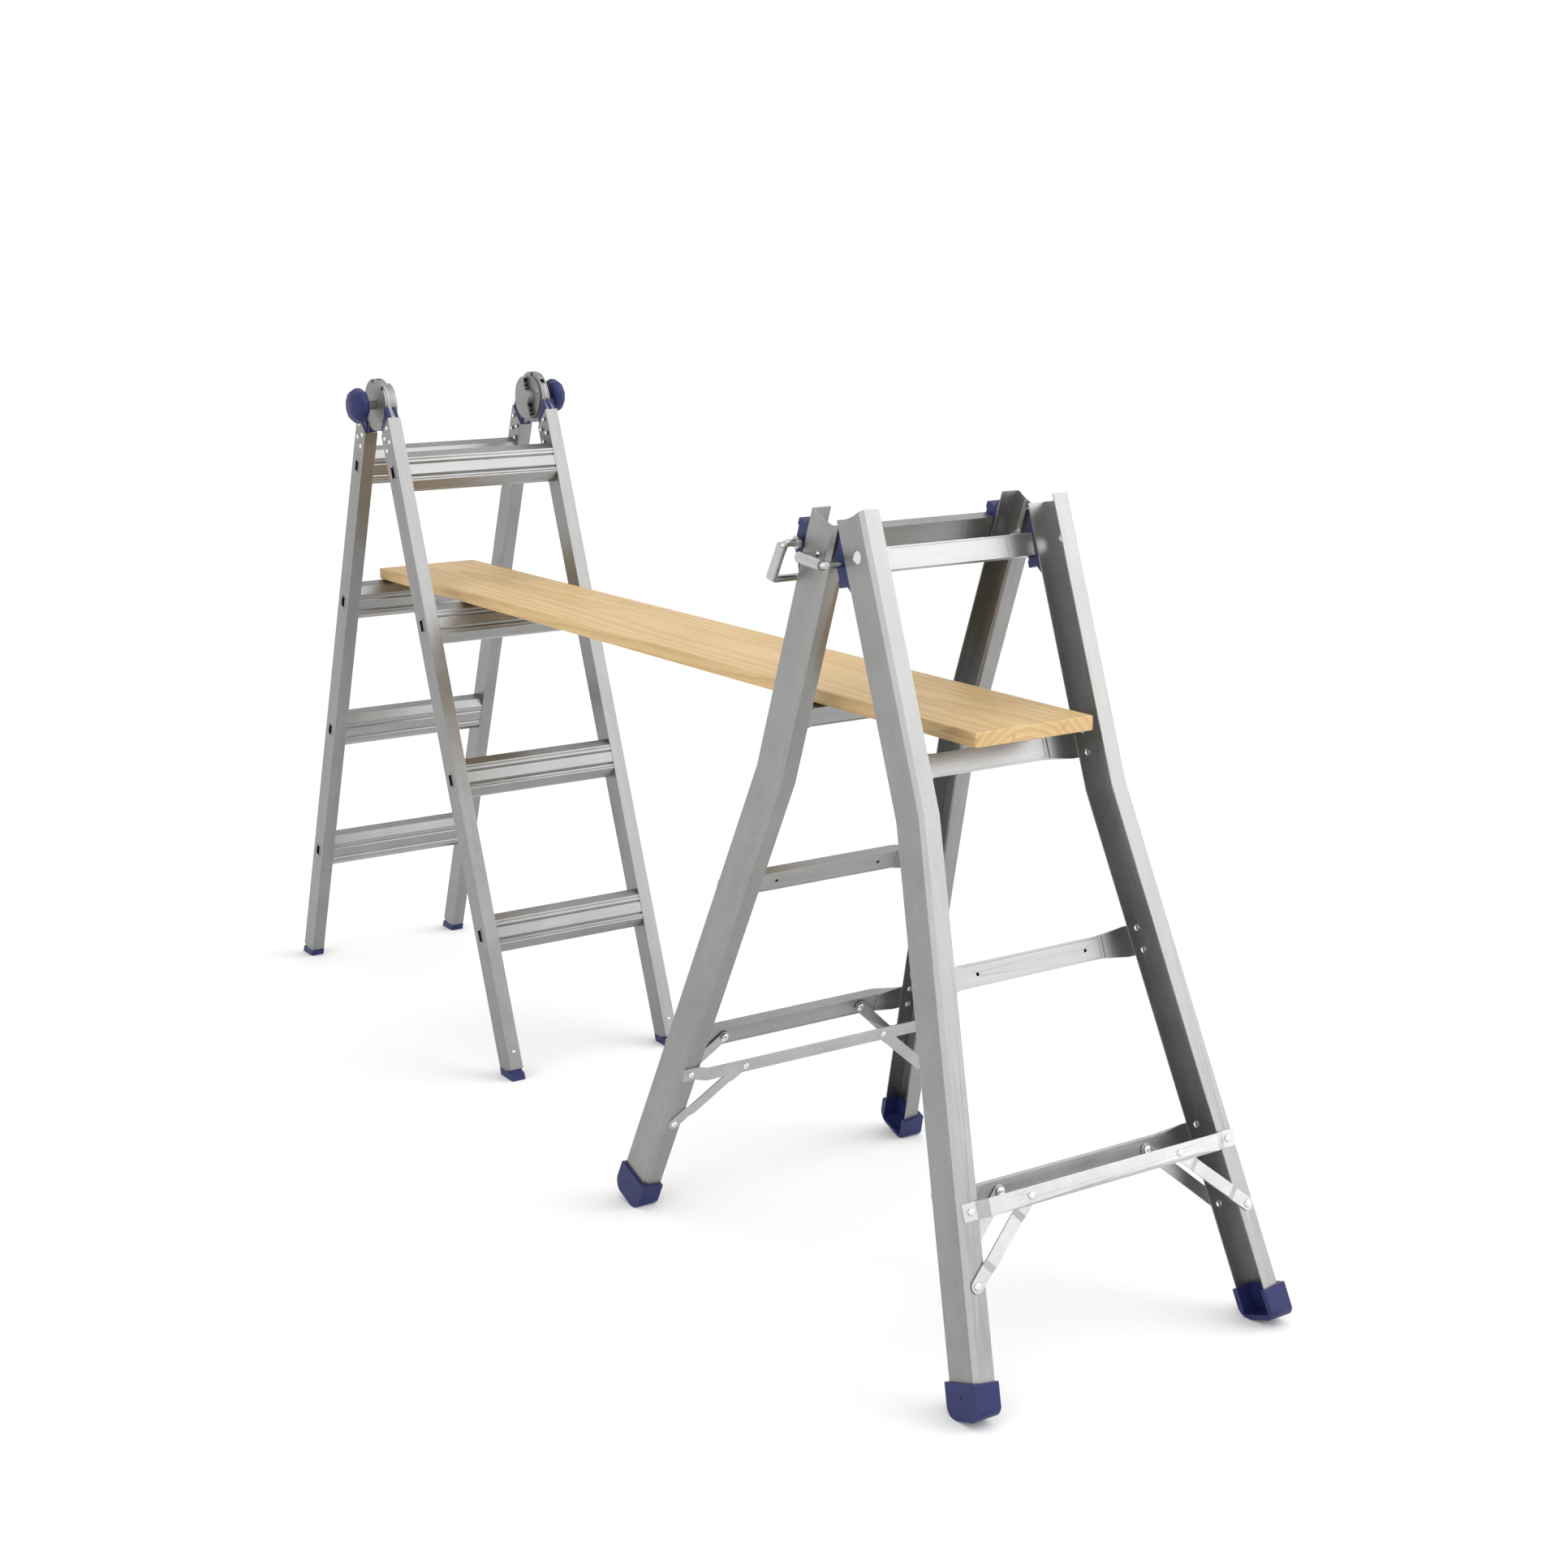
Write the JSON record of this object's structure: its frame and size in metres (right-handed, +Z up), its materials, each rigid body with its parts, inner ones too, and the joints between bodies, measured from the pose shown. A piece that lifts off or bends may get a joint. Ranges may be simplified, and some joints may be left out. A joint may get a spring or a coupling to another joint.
{
  "type": "multi position ladder",
  "caption": "Aluminium multi-position ladder split into a hinged A-frame and a flared trestle, with a timber plank between them as a low work platform.",
  "frame": {"origin": "centre of the footprint's bounding box, on the ground", "axes": "+X along the plank from the A-frame to the flared trestle, +Y across, +Z up"},
  "size_m": [2.5965, 0.5896, 1.2975],
  "materials": {
    "aluminium": "satin extruded",
    "aluminium_rung": "satin extruded, ribbed",
    "hinge_steel": "zinc plated, satin",
    "bright_steel": "bright zinc plated",
    "rivet": "bright",
    "blue_plastic": "moulded, satin",
    "plank": "planed pine"
  },
  "bodies": {
    "inner_back": {"inner_back_rail_left": "aluminium", "inner_back_rail_right": "aluminium", "inner_back_rung_1": "aluminium_rung", "inner_back_rung_2": "aluminium_rung", "inner_back_rung_3": "aluminium_rung", "inner_back_rung_4": "aluminium_rung", "inner_back_feet": "blue_plastic", "inner_back_rivets": "rivet", "inner_back_spacers": "blue_plastic", "inner_back_single_plate": "hinge_steel", "inner_back_fork_plates": "hinge_steel", "hinge_hub_left": "hinge_steel", "lock_spring_left": "hinge_steel"},
    "inner_front": {"inner_front_rail_left": "aluminium", "inner_front_rail_right": "aluminium", "inner_front_rung_1": "aluminium_rung", "inner_front_rung_2": "aluminium_rung", "inner_front_rung_3": "aluminium_rung", "inner_front_rung_4": "aluminium_rung", "inner_front_feet": "blue_plastic", "inner_front_rivets": "rivet", "inner_front_spacers": "blue_plastic", "inner_front_single_plate": "hinge_steel", "inner_front_fork_plates": "hinge_steel", "hinge_hub_right": "hinge_steel", "lock_spring_right": "hinge_steel"},
    "outer_back": {"outer_back_rail_left": "aluminium", "outer_back_rail_right": "aluminium", "outer_back_rung_1": "aluminium_rung", "outer_back_rung_2": "aluminium_rung", "outer_back_rung_3": "aluminium_rung", "outer_back_rung_4": "aluminium_rung", "outer_back_feet": "blue_plastic", "outer_back_rivets": "rivet", "outer_back_lock_guides": "blue_plastic", "outer_back_brace_bar": "aluminium_rung", "outer_back_struts": "aluminium_rung"},
    "outer_front": {"outer_front_rail_left": "aluminium", "outer_front_rail_right": "aluminium", "outer_front_rung_1": "aluminium_rung", "outer_front_rung_2": "aluminium_rung", "outer_front_rung_3": "aluminium_rung", "outer_front_rung_4": "aluminium_rung", "outer_front_feet": "blue_plastic", "outer_front_rivets": "rivet", "outer_front_lock_guides": "blue_plastic", "outer_front_brace_bar": "aluminium_rung", "outer_front_struts": "aluminium_rung"},
    "plank": {"plank": "plank"},
    "lock_knob_left": {"lock_knob_left": "blue_plastic", "lock_plunger_left": "hinge_steel"},
    "front_lever_left": {"front_lever_left": "bright_steel"},
    "back_collar_left": {"back_collar_left": "bright_steel"},
    "back_lever_left": {"back_lever_left": "bright_steel"},
    "lock_knob_right": {"lock_knob_right": "blue_plastic", "lock_plunger_right": "hinge_steel"},
    "front_lever_right": {"front_lever_right": "bright_steel"},
    "back_collar_right": {"back_collar_right": "bright_steel"},
    "back_lever_right": {"back_lever_right": "bright_steel"}
  },
  "joints": [
    {"name": "a_frame_fold", "type": "hinge", "parent": "inner_back", "child": "inner_front", "pos_m": [-0.78607, 0, 1.24654], "axis": [0, 1, 0], "range_deg": [0, 38]},
    {"name": "plank_slide", "type": "slide", "parent": "inner_back", "child": "plank", "axis": [1, 0, 0], "range_m": [-0.09, 0.01]},
    {"name": "trestle_slide", "type": "slide", "parent": "inner_back", "child": "outer_back", "axis": [1, 0, 0], "range_m": [-0.45, 0.08]},
    {"name": "trestle_fold", "type": "hinge", "parent": "outer_back", "child": "outer_front", "pos_m": [0.76493, 0, 1.12427], "axis": [0, 1, 0], "range_deg": [0, 34]},
    {"name": "lock_knob_left_press", "type": "slide", "parent": "inner_back", "child": "lock_knob_left", "axis": [0, 1, 0], "range_m": [0, 0.008], "stiffness_N_per_m": 600, "springref_m": -0.01, "deforming": ["lock_spring_left"]},
    {"name": "lock_knob_right_press", "type": "slide", "parent": "inner_front", "child": "lock_knob_right", "axis": [0, -1, 0], "range_m": [0, 0.008], "stiffness_N_per_m": 600, "springref_m": -0.01, "deforming": ["lock_spring_right"]},
    {"name": "front_lever_left_pull", "type": "slide", "parent": "outer_front", "child": "front_lever_left", "axis": [0, -1, 0], "range_m": [0, 0.03], "stiffness_N_per_m": 200, "springref_m": -0.02},
    {"name": "back_lever_left_pull", "type": "slide", "parent": "outer_back", "child": "back_collar_left", "axis": [0, -1, 0], "range_m": [0, 0.03], "stiffness_N_per_m": 200, "springref_m": -0.02},
    {"name": "back_lever_left_turn", "type": "hinge", "parent": "back_collar_left", "child": "back_lever_left", "pos_m": [0.72562, 0, 1.13906], "axis": [0, 1, 0], "range_deg": [-12, 110]},
    {"name": "front_lever_right_pull", "type": "slide", "parent": "outer_front", "child": "front_lever_right", "axis": [0, 1, 0], "range_m": [0, 0.03], "stiffness_N_per_m": 200, "springref_m": -0.02},
    {"name": "back_lever_right_pull", "type": "slide", "parent": "outer_back", "child": "back_collar_right", "axis": [0, 1, 0], "range_m": [0, 0.03], "stiffness_N_per_m": 200, "springref_m": -0.02},
    {"name": "back_lever_right_turn", "type": "hinge", "parent": "back_collar_right", "child": "back_lever_right", "pos_m": [0.72562, 0, 1.13906], "axis": [0, 1, 0], "range_deg": [-12, 110]}
  ]
}
